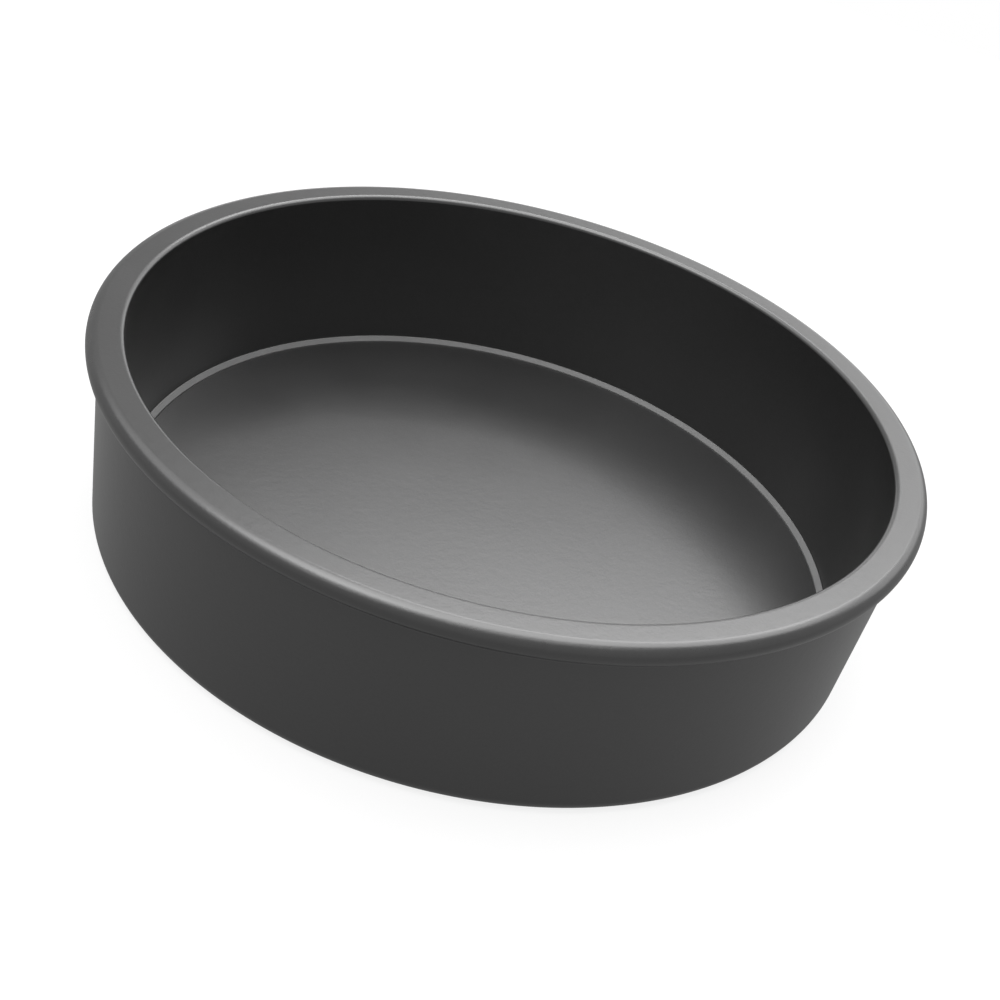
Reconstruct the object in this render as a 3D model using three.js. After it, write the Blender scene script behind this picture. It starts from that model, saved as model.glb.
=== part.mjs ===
// Loose-bottomed quiche pan: a thick-walled side ring with a rounded rim, a loose base that drops into
// the ring from above and rests on a seat at its foot, and a soft seal round the edge of the base.
// Millimetres, +Z up. The origin is the centre of the pan's underside.

import * as THREE from 'three';

// Side ring
const RIM_DIAMETER = 220; // over the rounded outer edge of the rim
const PAN_HEIGHT = 54; // from the underside to the flat of the rim
const RIM_ROUND = 3; // radius of the half-round outer edge, which is also how far it overhangs the wall
const RIM_INNER_ROUND = 1.4; // radius of the rim's inner edge
const WALL_THICKNESS = 6.5; // measured level
const WALL_DRAFT = 2.6; // degrees by which both faces of the wall lean out towards the rim
const FOOT_ROUND = 4; // radius of the wall's outer bottom edge

// Seat at the foot of the ring, which carries the base
const SEAT_THICKNESS = 2;
const SEAT_WIDTH = 9; // how far it stands in from the wall
const SEAT_EDGE_BREAK = 0.4; // chamfer of its inner edges

// Loose base
const BASE_THICKNESS = 3;
const BASE_EDGE_BREAK = 0.3; // chamfer of its outer edges
const GROOVE_HEIGHT = 1.2; // seal groove, half-way up the edge of the base
const GROOVE_DEPTH = 1.6;

// Seal
const SEAL_WIDTH = 1.2; // of the part that fills the joint between base and wall, at the level of the seat
const SEAL_RISE = 1.2; // height of its lip above the floor of the pan
const SEAL_LIP_ROUND = 0.3; // radius of the top of the lip
const SEAL_SLOPE = 42; // degrees from level by which its top slopes from the lip down towards the floor
const SEAL_FIT = 0.1; // gap between the seal and the base, in the groove and along the edge
const SEAT_CLEARANCE = 0.3; // gap under the seal, so that the base and not the seal rests on the seat
const WALL_CLEARANCE = 0.3; // gap between the seal and the wall

// Fineness of the turned surfaces
const TURN_SEGMENTS = 96;
const ARC_STEPS = 3;

// Levels and radii that follow from the sizes above
const RIM_UNDERSIDE = PAN_HEIGHT - 2 * RIM_ROUND;
const FLOOR_LEVEL = SEAT_THICKNESS + BASE_THICKNESS;
const DRAFT_ANGLE = THREE.MathUtils.degToRad(WALL_DRAFT);
const UNDER_RIM_RADIUS = RIM_DIAMETER / 2 - RIM_ROUND;
const outerWallRadius = (z) => UNDER_RIM_RADIUS - (RIM_UNDERSIDE - z) * Math.tan(DRAFT_ANGLE);
const innerWallRadius = (z) => outerWallRadius(z) - WALL_THICKNESS;
const SEAT_RADIUS = innerWallRadius(SEAT_THICKNESS) - SEAT_WIDTH;
const sealRadius = (z) => innerWallRadius(z) - WALL_CLEARANCE;
const SEAL_INNER_RADIUS = sealRadius(SEAT_THICKNESS) - SEAL_WIDTH;
const BASE_RADIUS = SEAL_INNER_RADIUS - SEAL_FIT;
const GROOVE_LOW = SEAT_THICKNESS + (BASE_THICKNESS - GROOVE_HEIGHT) / 2;
const GROOVE_HIGH = GROOVE_LOW + GROOVE_HEIGHT;
const GROOVE_RADIUS = BASE_RADIUS - GROOVE_DEPTH;

const coating = new THREE.MeshStandardMaterial({ color: 0x2a2a2a, roughness: 0.31, metalness: 0 });
const baseCoating = new THREE.MeshStandardMaterial({ color: 0x2a2a2a, roughness: 0.31, metalness: 0 });
const silicone = new THREE.MeshStandardMaterial({ color: 0x868686, roughness: 0.5, metalness: 0 });

// Turns an outline, drawn as radius and height with the solid on its left, once about the pan's axis.
function turned(name, outline, material) {
  const geometry = new THREE.LatheGeometry(outline.getPoints(ARC_STEPS), TURN_SEGMENTS);
  geometry.rotateX(Math.PI / 2);
  const mesh = new THREE.Mesh(geometry, material);
  mesh.name = name;
  return mesh;
}

// The foot, wall and rim, with both edge rounds tangent to the leaning wall.
function sideRing() {
  const lean = Math.sin(DRAFT_ANGLE);
  const upright = Math.cos(DRAFT_ANGLE);
  const footEnd = FOOT_ROUND * (1 - lean);
  const footCentre = outerWallRadius(footEnd) - FOOT_ROUND * upright;
  const edgeEnd = PAN_HEIGHT - RIM_INNER_ROUND * (1 - lean);
  const edgeCentre = innerWallRadius(edgeEnd) + RIM_INNER_ROUND * upright;
  const quarter = Math.PI / 2;

  const outline = new THREE.Path();
  outline.moveTo(SEAT_RADIUS, SEAT_EDGE_BREAK);
  outline.lineTo(SEAT_RADIUS + SEAT_EDGE_BREAK, 0);
  outline.absarc(footCentre, FOOT_ROUND, FOOT_ROUND, -quarter, -DRAFT_ANGLE);
  outline.absarc(UNDER_RIM_RADIUS, PAN_HEIGHT - RIM_ROUND, RIM_ROUND, -quarter, quarter);
  outline.absarc(edgeCentre, PAN_HEIGHT - RIM_INNER_ROUND, RIM_INNER_ROUND, quarter, Math.PI - DRAFT_ANGLE);
  outline.lineTo(innerWallRadius(SEAT_THICKNESS), SEAT_THICKNESS);
  outline.lineTo(SEAT_RADIUS + SEAT_EDGE_BREAK, SEAT_THICKNESS);
  outline.lineTo(SEAT_RADIUS, SEAT_THICKNESS - SEAT_EDGE_BREAK);
  outline.lineTo(SEAT_RADIUS, SEAT_EDGE_BREAK);
  return turned('side_ring', outline, coating);
}

// A plain disc with a seal groove in its edge. It rests on the seat.
function looseBase() {
  const outline = new THREE.Path();
  outline.moveTo(0, SEAT_THICKNESS);
  outline.lineTo(BASE_RADIUS - BASE_EDGE_BREAK, SEAT_THICKNESS);
  outline.lineTo(BASE_RADIUS, SEAT_THICKNESS + BASE_EDGE_BREAK);
  outline.lineTo(BASE_RADIUS, GROOVE_LOW);
  outline.lineTo(GROOVE_RADIUS, GROOVE_LOW);
  outline.lineTo(GROOVE_RADIUS, GROOVE_HIGH);
  outline.lineTo(BASE_RADIUS, GROOVE_HIGH);
  outline.lineTo(BASE_RADIUS, FLOOR_LEVEL - BASE_EDGE_BREAK);
  outline.lineTo(BASE_RADIUS - BASE_EDGE_BREAK, FLOOR_LEVEL);
  outline.lineTo(0, FLOOR_LEVEL);
  return turned('loose_base', outline, baseCoating);
}

// A ring with a tongue in the groove of the base. Its top slopes up from the floor to a lip along the wall.
function baseSeal() {
  const tongueRadius = GROOVE_RADIUS + SEAL_FIT;
  const tongueLow = GROOVE_LOW + SEAL_FIT;
  const tongueHigh = GROOVE_HIGH - SEAL_FIT;
  const foot = SEAT_THICKNESS + SEAT_CLEARANCE;
  const slope = THREE.MathUtils.degToRad(SEAL_SLOPE);
  const lipHeight = FLOOR_LEVEL + SEAL_RISE - SEAL_LIP_ROUND;
  const lipCentre = sealRadius(lipHeight) - SEAL_LIP_ROUND;
  const slopeRadius = lipCentre - SEAL_LIP_ROUND * Math.sin(slope);
  const slopeTop = lipHeight + SEAL_LIP_ROUND * Math.cos(slope);
  const slopeFoot = slopeTop - (slopeRadius - SEAL_INNER_RADIUS) * Math.tan(slope);

  const outline = new THREE.Path();
  outline.moveTo(tongueRadius, tongueLow);
  outline.lineTo(SEAL_INNER_RADIUS, tongueLow);
  outline.lineTo(SEAL_INNER_RADIUS, foot);
  outline.lineTo(sealRadius(foot), foot);
  outline.absarc(lipCentre, lipHeight, SEAL_LIP_ROUND, -DRAFT_ANGLE, Math.PI / 2 + slope);
  outline.lineTo(SEAL_INNER_RADIUS, slopeFoot);
  outline.lineTo(SEAL_INNER_RADIUS, tongueHigh);
  outline.lineTo(tongueRadius, tongueHigh);
  outline.lineTo(tongueRadius, tongueLow);
  return turned('base_seal', outline, silicone);
}

const quichePan = new THREE.Group();
quichePan.name = 'quiche_pan';
quichePan.add(sideRing(), looseBase(), baseSeal());

export default quichePan;
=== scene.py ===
"""Loose-bottomed quiche pan: the looks of its ring, base and seal, on a white table.

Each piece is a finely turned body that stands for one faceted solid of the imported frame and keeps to
that solid's sizes. Metres, +Z up, with the origin at the centre of the pan's underside.
"""

import math

import bmesh
import bpy
from mathutils import Matrix, Vector


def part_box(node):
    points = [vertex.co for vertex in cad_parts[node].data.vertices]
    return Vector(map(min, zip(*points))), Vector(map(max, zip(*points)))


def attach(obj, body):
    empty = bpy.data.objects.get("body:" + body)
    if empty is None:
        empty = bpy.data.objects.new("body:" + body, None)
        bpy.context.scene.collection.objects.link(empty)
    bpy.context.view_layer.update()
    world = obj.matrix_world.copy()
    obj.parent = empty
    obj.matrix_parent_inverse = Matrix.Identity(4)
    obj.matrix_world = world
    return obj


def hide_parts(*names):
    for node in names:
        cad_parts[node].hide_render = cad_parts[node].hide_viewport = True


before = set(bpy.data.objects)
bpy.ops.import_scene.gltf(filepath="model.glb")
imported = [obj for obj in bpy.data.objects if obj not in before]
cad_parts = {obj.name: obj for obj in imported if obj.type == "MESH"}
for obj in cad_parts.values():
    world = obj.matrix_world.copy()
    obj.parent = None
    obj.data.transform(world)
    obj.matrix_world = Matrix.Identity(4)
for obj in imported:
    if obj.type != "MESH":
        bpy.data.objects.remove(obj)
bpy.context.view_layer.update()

MM = 0.001

# Sizes that the frame gives
ring_low, ring_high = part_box("side_ring")
base_low, base_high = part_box("loose_base")
seal_low, seal_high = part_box("base_seal")
RIM_RADIUS = ring_high.x
PAN_HEIGHT = ring_high.z
SEAT_LEVEL = base_low.z
FLOOR_LEVEL = base_high.z
BASE_RADIUS = base_high.x
SEAL_FOOT = seal_low.z
SEAL_TOP = seal_high.z

# Sizes of the ring's section, as in the solids
RIM_ROUND = 3 * MM
RIM_INNER_ROUND = 1.4 * MM
WALL_THICKNESS = 6.5 * MM
WALL_DRAFT = math.radians(2.6)
FOOT_ROUND = 4 * MM
SEAT_WIDTH = 9 * MM
SEAT_EDGE_BREAK = 0.4 * MM

# Sizes of the base's edge and of the seal in it, as in the solids
BASE_EDGE_BREAK = 0.3 * MM
GROOVE_HEIGHT = 1.2 * MM
GROOVE_DEPTH = 1.6 * MM
SEAL_FIT = 0.1 * MM
SEAL_LIP_ROUND = 0.3 * MM
SEAL_SLOPE = math.radians(42)

# What only the finished pieces have
RIM_COVE = 1.5 * MM  # soft corner between the wall and the underside of the rim
SEAL_WALL_GAP = 0.03 * MM  # the soft seal reaches past its solid, all but to the wall

# Fineness of the turned pieces
TURN_STEPS = 256
ARC_STEP = math.radians(6)
SHARP_EDGE = math.radians(25)

# Non-stick coating
COATING_TONE = 0.019
TONE_SPREAD = 0.4  # share of the tone by which the darkest and palest specks leave it
RING_ROUGHNESS = 0.295
RING_IOR = 1.95
BASE_ROUGHNESS = 0.31
BASE_IOR = 2.03
GRAIN_SIZE = 0.7 * MM
PEEL_SIZE = 2.6 * MM  # slower unevenness of the sprayed coat
CLOUD_SIZE = 28 * MM
COATING_DEPTH = 0.04 * MM  # height of the grain and the peel
GRAIN_CONTRAST = 0.9
CLOUD_CONTRAST = 0.3
GRAIN_ROUGHNESS = 0.04
CLOUD_ROUGHNESS = 0.06
WEAR_AND_HIGHLIGHT_REACH = 1.4 * MM  # how far from an edge the coating is paler: rubbed wear, and also a painted highlight along the edge
WEAR_AND_HIGHLIGHT_PATCH_SIZE = 6 * MM
WEAR_AND_HIGHLIGHT_PATCH_RANGE = (0.35, 0.7)  # noise at which a paler edge patch (wear and painted highlight) starts and is full
WEAR_AND_HIGHLIGHT_SHARE = 0.2
WEAR_AND_HIGHLIGHT_TONE = 3  # times the tone of the coating, on the paler edges: wear and painted highlight
RUB_POLISH = 0.02
ROUND_MIDDLE = 0.3  # share of a round's radius by which its middle lies in from the square corner

# Silicone
SILICONE_DARK = 0.21
SILICONE_PALE = 0.27
SILICONE_ROUGHNESS = 0.5
SILICONE_IOR = 1.41
BLOOM_SIZE = 9 * MM
BLOOM_ROUGHNESS = 0.15
PORE_SIZE = 0.25 * MM
PORE_DEPTH = 0.015 * MM
PORE_ROUGHNESS = 0.1

# Camera, seen from the centre of the rim
LENS = 55.757 * MM
SENSOR = 36 * MM
CAMERA_DISTANCE = 403.71 * MM
CAMERA_SHIFT = Vector((-5.62, -33.78)) * MM  # to the right and up, across the view
CAMERA_ELEVATION = math.radians(33.36)
CAMERA_ROLL = math.radians(15.05)
CAMERA_NEAR = 10 * MM  # nothing closer to the camera shows

# Table, room and lamps
LAMP_DISTANCE = 3.0
TABLE_RADIUS = 0.7
TABLE_GAP = 0.05 * MM
TABLE_GREY = 0.08  # colour of the table in the light that it sends up to the pan
TABLE_GLOW = 0.84  # brightness of the white table in the deepest shadow, where 1 is white
TABLE_WHITE = 0.22  # colour by which the lamps brighten the white table further
TABLE_REFLECTED = 0.32  # share of white in the table's reflection on the pan
ROOM_LIGHT = 0.05  # light from the white room on the pan, where 1 is as bright as it looks
ROOM_REFLECTED = 0.5  # brightness of the white room in the pan's reflections


# Shader maths


class Wire:
    """A value in a material: arithmetic on wires adds the Math nodes that work it out."""

    def __init__(self, finish, socket):
        self.finish = finish
        self.socket = socket

    def math(self, operation, *values):
        return self.finish.node("ShaderNodeMath", {"operation": operation}, dict(enumerate(values)))

    def __add__(self, other):
        return self.math("ADD", self, other)

    def __radd__(self, other):
        return self.math("ADD", other, self)

    def __sub__(self, other):
        return self.math("SUBTRACT", self, other)

    def __rsub__(self, other):
        return self.math("SUBTRACT", other, self)

    def __mul__(self, other):
        return self.math("MULTIPLY", self, other)

    def __rmul__(self, other):
        return self.math("MULTIPLY", other, self)

    def __pow__(self, other):
        return self.math("POWER", self, other)

    def larger(self, other):
        return self.math("MAXIMUM", self, other)


class Finish:
    """A procedural material, or the world, while its nodes are put together."""

    def __init__(self, owner):
        owner.use_nodes = True
        self.owner = owner
        self.tree = owner.node_tree
        self.tree.nodes.clear()

    def node(self, kind, settings=None, inputs=None, output=0):
        """Adds a node, with its settings first and then the values or links of its sockets."""
        node = self.tree.nodes.new(kind)
        for name, value in (settings or {}).items():
            setattr(node, name, value)
        for name, value in (inputs or {}).items():
            socket = self.pick(node.inputs, name)
            if isinstance(value, Wire):
                self.tree.links.new(value.socket, socket)
            else:
                socket.default_value = value
        if node.outputs:
            return Wire(self, self.pick(node.outputs, output))

    @staticmethod
    def pick(sockets, name):
        if isinstance(name, int):
            return sockets[name]
        return next(socket for socket in sockets if socket.name == name and socket.enabled)

    def point(self):
        """The point on the piece, in the pan's own frame."""
        return self.node("ShaderNodeTexCoord", output="Object")

    def round_place(self, point):
        """A point's distance from the pan's axis and its height."""
        x, y, z = (self.node("ShaderNodeSeparateXYZ", None, {0: point}, axis) for axis in "XYZ")
        return (x * x + y * y) ** 0.5, z

    def noise(self, point, size, detail=2.0, sharpness=0.5):
        """Noise with features of about a given size, from 0 to 1."""
        inputs = {"Vector": point, "Scale": 1 / size, "Detail": detail, "Roughness": sharpness}
        return self.node("ShaderNodeTexNoise", None, inputs)

    def mix(self, share, first, second):
        inputs = {"Factor": share, "A": first, "B": second}
        return self.node("ShaderNodeMix", {"data_type": "RGBA"}, inputs, "Result")

    def bump(self, height, depth):
        inputs = {"Strength": 1.0, "Distance": depth, "Height": height}
        return self.node("ShaderNodeBump", None, inputs)

    def surface(self, shader):
        self.node("ShaderNodeOutputMaterial", None, {"Surface": shader})
        return self.owner


def grey(level):
    return (level, level, level, 1.0)


def ramp(value, start, end):
    """Rises from 0 to 1 as a value goes from start to end."""
    inputs = {"Value": value, "From Min": start, "From Max": end}
    return value.finish.node("ShaderNodeMapRange", {"interpolation_type": "SMOOTHSTEP"}, inputs)


# Materials


def near_circles(radius, height, circles, reach):
    """1 on any of the given circles about the axis, falling to 0 at a given distance from it."""
    nearness = None
    for circle_radius, circle_height in circles:
        across = radius - circle_radius
        along = height - circle_height
        near = 1 - ramp((across * across + along * along) ** 0.5, 0.0, reach)
        nearness = near if nearness is None else nearness.larger(near)
    return nearness


def nonstick(name, roughness, ior, worn_and_highlit_edges):
    """Dark satin non-stick coating, finely grained, and a little paler on its edges: rubbed wear and a
    painted highlight.
    """
    finish = Finish(bpy.data.materials.new(name))
    point = finish.point()
    radius, height = finish.round_place(point)
    grain = finish.noise(point, GRAIN_SIZE, detail=2.0, sharpness=0.6)
    peel = finish.noise(point, PEEL_SIZE, detail=1.0)
    cloud = finish.noise(point, CLOUD_SIZE, detail=4.0, sharpness=0.55)
    patches = ramp(finish.noise(point, WEAR_AND_HIGHLIGHT_PATCH_SIZE), *WEAR_AND_HIGHLIGHT_PATCH_RANGE)
    # paler, smoother edges: rubbed wear that also paints a highlight along them
    wear_and_highlight = near_circles(radius, height, worn_and_highlit_edges, WEAR_AND_HIGHLIGHT_REACH) * patches
    speckle = (cloud - 0.5) * CLOUD_CONTRAST + (grain - 0.5) * GRAIN_CONTRAST + 0.5
    darkest = grey(COATING_TONE * (1 - TONE_SPREAD))
    palest = grey(COATING_TONE * (1 + TONE_SPREAD))
    body = finish.mix(speckle, darkest, palest)
    uneven = (cloud - 0.5) * CLOUD_ROUGHNESS + (grain - 0.5) * GRAIN_ROUGHNESS
    inputs = {
        # the edge mix paints the edges paler, as wear and as a painted highlight
        "Base Color": finish.mix(wear_and_highlight * WEAR_AND_HIGHLIGHT_SHARE, body, grey(COATING_TONE * WEAR_AND_HIGHLIGHT_TONE)),
        "Roughness": roughness + uneven - wear_and_highlight * RUB_POLISH,
        "Normal": finish.bump((grain + peel) * 0.5, COATING_DEPTH),
        "IOR": ior,
    }
    return finish.surface(finish.node("ShaderNodeBsdfPrincipled", None, inputs))


def silicone(name):
    """Mid grey silicone rubber, matt, with fine pores and a faint bloom."""
    finish = Finish(bpy.data.materials.new(name))
    point = finish.point()
    bloom = finish.noise(point, BLOOM_SIZE, detail=3.0)
    pores = finish.noise(point, PORE_SIZE, detail=2.0)
    uneven = (bloom - 0.5) * BLOOM_ROUGHNESS + (pores - 0.5) * PORE_ROUGHNESS
    inputs = {
        "Base Color": finish.mix(bloom, grey(SILICONE_DARK), grey(SILICONE_PALE)),
        "Roughness": SILICONE_ROUGHNESS + uneven,
        "Normal": finish.bump(pores, PORE_DEPTH),
        "IOR": SILICONE_IOR,
    }
    return finish.surface(finish.node("ShaderNodeBsdfPrincipled", None, inputs))


def viewed(finish):
    """1 for what the camera sees, and 1 for what shows in a reflection or through glass."""
    seen = finish.node("ShaderNodeLightPath", output="Is Camera Ray")
    glossy = finish.node("ShaderNodeLightPath", output="Is Glossy Ray")
    through = finish.node("ShaderNodeLightPath", output="Is Transmission Ray")
    return seen, glossy.larger(through)


def white_table():
    """White to the camera, with the pan's shadow on it, grey to the light, and clear from below."""
    finish = Finish(bpy.data.materials.new("white_table"))
    seen, reflected = viewed(finish)
    lit = finish.node("ShaderNodeBsdfDiffuse", None, {"Color": grey(TABLE_GREY)})
    faint = finish.node("ShaderNodeBsdfDiffuse", None, {"Color": grey(TABLE_WHITE)})
    glow = finish.node("ShaderNodeEmission", None, {"Color": grey(TABLE_GLOW), "Strength": 1.0})
    white = finish.node("ShaderNodeAddShader", None, {0: faint, 1: glow})
    share = seen.larger(reflected * TABLE_REFLECTED)
    top = finish.node("ShaderNodeMixShader", None, {0: share, 1: lit, 2: white})
    below = finish.node("ShaderNodeNewGeometry", output="Backfacing")
    clear = finish.node("ShaderNodeBsdfTransparent")
    return finish.surface(finish.node("ShaderNodeMixShader", None, {0: below, 1: top, 2: clear}))


# Turned pieces


def arc(centre, radius, start, end):
    """Points of a round stretch of an outline, from one angle to another."""
    steps = max(2, round(abs(end - start) / ARC_STEP))
    angles = [start + (end - start) * step / steps for step in range(steps + 1)]
    return [(centre[0] + radius * math.cos(a), centre[1] + radius * math.sin(a)) for a in angles]


def turn(name, outline, material):
    """Turns a closed outline of (distance from axis, height) points once about the pan's axis."""
    shape = bmesh.new()
    angles = [math.tau * step / TURN_STEPS for step in range(TURN_STEPS)]
    columns = []
    for radius, height in outline:
        if radius == 0:
            columns.append([shape.verts.new((0, 0, height))] * TURN_STEPS)
            continue
        spots = [(radius * math.cos(a), radius * math.sin(a), height) for a in angles]
        columns.append([shape.verts.new(spot) for spot in spots])
    for here, there in zip(columns, columns[1:] + columns[:1]):
        for step in range(TURN_STEPS):
            after = (step + 1) % TURN_STEPS
            corners = [here[step], here[after], there[after], there[step]]
            corners = [corner for i, corner in enumerate(corners) if corner not in corners[:i]]
            if len(corners) > 2:
                shape.faces.new(corners)
    bmesh.ops.recalc_face_normals(shape, faces=shape.faces)
    mesh = bpy.data.meshes.new(name)
    shape.to_mesh(mesh)
    shape.free()
    mesh.shade_smooth()
    mesh.set_sharp_from_angle(angle=SHARP_EDGE)
    mesh.materials.append(material)
    piece = bpy.data.objects.new(name, mesh)
    bpy.context.scene.collection.objects.link(piece)
    evened = piece.modifiers.new("even_shading", "WEIGHTED_NORMAL")
    evened.keep_sharp = True
    return piece


def outer_wall(height):
    """Radius of the wall's outer face at a given height."""
    under_rim = PAN_HEIGHT - 2 * RIM_ROUND
    return RIM_RADIUS - RIM_ROUND - (under_rim - height) * math.tan(WALL_DRAFT)


def inner_wall(height):
    """Radius of the wall's inner face at a given height."""
    return outer_wall(height) - WALL_THICKNESS


def side_ring():
    """The wall with its rim, and at its foot the seat that carries the base."""
    quarter = math.pi / 2
    lean = math.sin(WALL_DRAFT)
    upright = math.cos(WALL_DRAFT)
    seat_radius = inner_wall(SEAT_LEVEL) - SEAT_WIDTH
    foot_centre = outer_wall(FOOT_ROUND * (1 - lean)) - FOOT_ROUND * upright
    rim_centre = (RIM_RADIUS - RIM_ROUND, PAN_HEIGHT - RIM_ROUND)
    cove_height = PAN_HEIGHT - 2 * RIM_ROUND - RIM_COVE
    cove_centre = (outer_wall(cove_height) + RIM_COVE, cove_height)
    cove_angle = math.asin(RIM_COVE / (RIM_ROUND + RIM_COVE))
    edge_height = PAN_HEIGHT - RIM_INNER_ROUND
    edge_radius = inner_wall(edge_height + RIM_INNER_ROUND * lean) + RIM_INNER_ROUND * upright
    edge_centre = (edge_radius, edge_height)
    outline = arc((foot_centre, FOOT_ROUND), FOOT_ROUND, -quarter, -WALL_DRAFT)
    outline += arc(cove_centre, RIM_COVE, math.pi - WALL_DRAFT, quarter + cove_angle)
    outline += arc(rim_centre, RIM_ROUND, cove_angle - quarter, quarter)
    outline += arc(edge_centre, RIM_INNER_ROUND, quarter, math.pi - WALL_DRAFT)
    outline += [
        (inner_wall(SEAT_LEVEL), SEAT_LEVEL),
        (seat_radius + SEAT_EDGE_BREAK, SEAT_LEVEL),
        (seat_radius, SEAT_LEVEL - SEAT_EDGE_BREAK),
        (seat_radius, SEAT_EDGE_BREAK),
        (seat_radius + SEAT_EDGE_BREAK, 0),
    ]
    rim_edge = (RIM_RADIUS - ROUND_MIDDLE * RIM_ROUND, PAN_HEIGHT - ROUND_MIDDLE * RIM_ROUND)
    # edges painted paler: rubbed wear and a painted highlight
    worn_and_highlit = [edge_centre, rim_edge, (foot_centre, 0)]
    ring = turn("pan_ring", outline, nonstick("ring_coating", RING_ROUGHNESS, RING_IOR, worn_and_highlit))
    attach(ring, "ring")
    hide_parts("side_ring")


def loose_base():
    """The floor of the pan: a disc with a groove for the seal in its edge."""
    groove_low = (SEAT_LEVEL + FLOOR_LEVEL - GROOVE_HEIGHT) / 2
    groove_high = groove_low + GROOVE_HEIGHT
    groove_radius = BASE_RADIUS - GROOVE_DEPTH
    outline = [
        (0, SEAT_LEVEL),
        (BASE_RADIUS - BASE_EDGE_BREAK, SEAT_LEVEL),
        (BASE_RADIUS, SEAT_LEVEL + BASE_EDGE_BREAK),
        (BASE_RADIUS, groove_low),
        (groove_radius, groove_low),
        (groove_radius, groove_high),
        (BASE_RADIUS, groove_high),
        (BASE_RADIUS, FLOOR_LEVEL - BASE_EDGE_BREAK),
        (BASE_RADIUS - BASE_EDGE_BREAK, FLOOR_LEVEL),
        (0, FLOOR_LEVEL),
    ]
    # edges painted paler: rubbed wear and a painted highlight
    worn_and_highlit = [(BASE_RADIUS, FLOOR_LEVEL), (BASE_RADIUS, SEAT_LEVEL)]
    base = turn("pan_base", outline, nonstick("base_coating", BASE_ROUGHNESS, BASE_IOR, worn_and_highlit))
    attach(base, "base")
    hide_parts("loose_base")


def base_seal():
    """The soft ring round the base. Its top slopes up from the floor to a lip along the wall."""
    inner_radius = BASE_RADIUS + SEAL_FIT
    lip_height = SEAL_TOP - SEAL_LIP_ROUND
    lip_centre = (inner_wall(lip_height) - SEAL_WALL_GAP - SEAL_LIP_ROUND, lip_height)
    lip = arc(lip_centre, SEAL_LIP_ROUND, -WALL_DRAFT, math.pi / 2 + SEAL_SLOPE)
    slope_radius, slope_height = lip[-1]
    slope_foot = slope_height - (slope_radius - inner_radius) * math.tan(SEAL_SLOPE)
    tongue_low = (SEAT_LEVEL + FLOOR_LEVEL - GROOVE_HEIGHT) / 2 + SEAL_FIT
    tongue_high = tongue_low + GROOVE_HEIGHT - 2 * SEAL_FIT
    tongue_radius = BASE_RADIUS - GROOVE_DEPTH + SEAL_FIT
    outline = [
        (tongue_radius, tongue_low),
        (inner_radius, tongue_low),
        (inner_radius, SEAL_FOOT),
        (inner_wall(SEAL_FOOT) - SEAL_WALL_GAP, SEAL_FOOT),
    ]
    outline += lip
    outline += [(inner_radius, slope_foot), (inner_radius, tongue_high), (tongue_radius, tongue_high)]
    seal = turn("pan_seal", outline, silicone("seal_silicone"))
    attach(seal, "base")
    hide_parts("base_seal")


# Studio


def table():
    """A wide round table just under the pan."""
    mesh = bpy.data.meshes.new("table")
    shape = bmesh.new()
    bmesh.ops.create_circle(shape, cap_ends=True, segments=TURN_STEPS, radius=TABLE_RADIUS)
    shape.to_mesh(mesh)
    shape.free()
    mesh.materials.append(white_table())
    piece = bpy.data.objects.new("table", mesh)
    piece.location.z = -TABLE_GAP
    bpy.context.scene.collection.objects.link(piece)


def white_room():
    """A room that looks white, is dimmer in reflections and adds only a little light."""
    world = bpy.data.worlds.new("white_room")
    bpy.context.scene.world = world
    finish = Finish(world)
    seen, reflected = viewed(finish)
    strength = seen.larger(reflected * ROOM_REFLECTED).larger(ROOM_LIGHT)
    background = finish.node("ShaderNodeBackground", None, {"Color": grey(1.0), "Strength": strength})
    finish.node("ShaderNodeOutputWorld", None, {"Surface": background})


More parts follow.
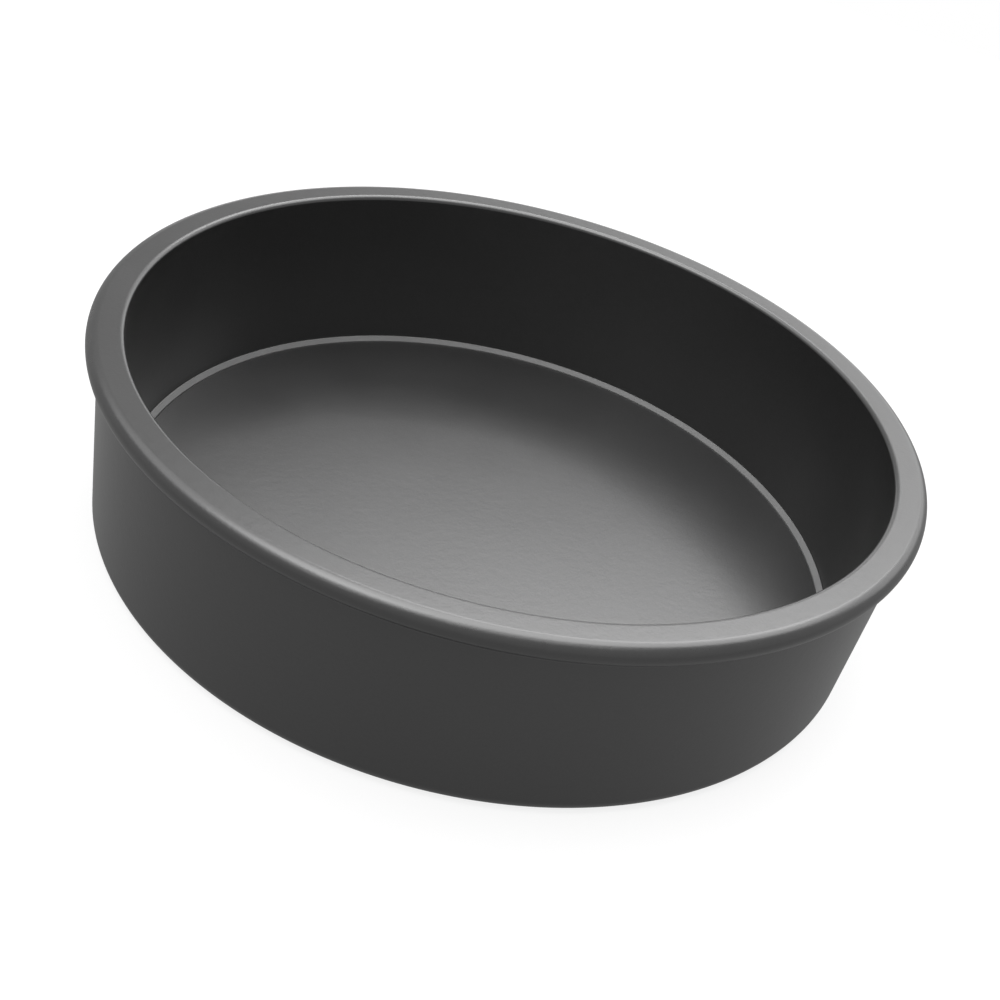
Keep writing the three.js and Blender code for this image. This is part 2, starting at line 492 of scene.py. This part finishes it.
def softbox(name, azimuth, elevation, tilt, width, height, brightness):
    """A rectangular lamp that faces the pan.

    Azimuth is clockwise from straight behind the pan, and width and height are half angles as seen from
    the pan. The face of the lamp is a given number of times as bright as white paper.
    """
    lamp = bpy.data.lights.new(name, "AREA")
    lamp.shape = "RECTANGLE"
    lamp.size = 2 * LAMP_DISTANCE * math.tan(math.radians(width))
    lamp.size_y = 2 * LAMP_DISTANCE * math.tan(math.radians(height))
    lamp.energy = brightness * lamp.size * lamp.size_y * math.pi
    lit = bpy.data.objects.new(name, lamp)
    bpy.context.scene.collection.objects.link(lit)
    level = Vector((math.sin(math.radians(azimuth)), math.cos(math.radians(azimuth)), 0))
    away = level * math.cos(math.radians(elevation)) + Vector((0, 0, math.sin(math.radians(elevation))))
    facing = away.to_track_quat("Z", "Y").to_matrix().to_4x4()
    spot = Matrix.Translation(Vector((0, 0, PAN_HEIGHT)) + away * LAMP_DISTANCE)
    lit.matrix_world = spot @ facing @ Matrix.Rotation(math.radians(tilt), 4, "Z")
    lit.visible_camera = False


def lamps():
    """A narrow bright softbox behind the pan, a long one overhead, and three wider or dimmer ones."""
    softbox("back_softbox", azimuth=11.5, elevation=45.0, tilt=-71.1,
            width=8.2, height=16.5, brightness=4.2)
    softbox("overhead_softbox", azimuth=18.6, elevation=82.6, tilt=141.4,
            width=19.5, height=45.0, brightness=2.2)
    softbox("left_softbox", azimuth=-95.2, elevation=72.7, tilt=13.4,
            width=41.9, height=38.4, brightness=1.0)
    softbox("low_softbox", azimuth=17.6, elevation=15.0, tilt=-21.3,
            width=45.0, height=12.0, brightness=1.15)
    softbox("front_softbox", azimuth=-150.0, elevation=66.0, tilt=0.0,
            width=14.0, height=14.0, brightness=1.1)


def camera():
    """The camera, from in front of the pan and above it, rolled so that the pan looks tipped."""
    lens = bpy.data.cameras.new("camera")
    lens.lens = LENS / MM
    lens.sensor_width = SENSOR / MM
    lens.clip_start = CAMERA_NEAR
    viewer = bpy.data.objects.new("camera", lens)
    bpy.context.scene.collection.objects.link(viewer)
    turned = Matrix.Rotation(math.pi / 2 - CAMERA_ELEVATION, 4, "X") @ Matrix.Rotation(CAMERA_ROLL, 4, "Z")
    back = Matrix.Translation((*CAMERA_SHIFT, CAMERA_DISTANCE))
    viewer.matrix_world = Matrix.Translation((0, 0, PAN_HEIGHT)) @ turned @ back
    bpy.context.scene.camera = viewer


camera()
side_ring()
loose_base()
base_seal()
table()
white_room()
lamps()
bpy.context.scene.view_settings.view_transform = "Standard"
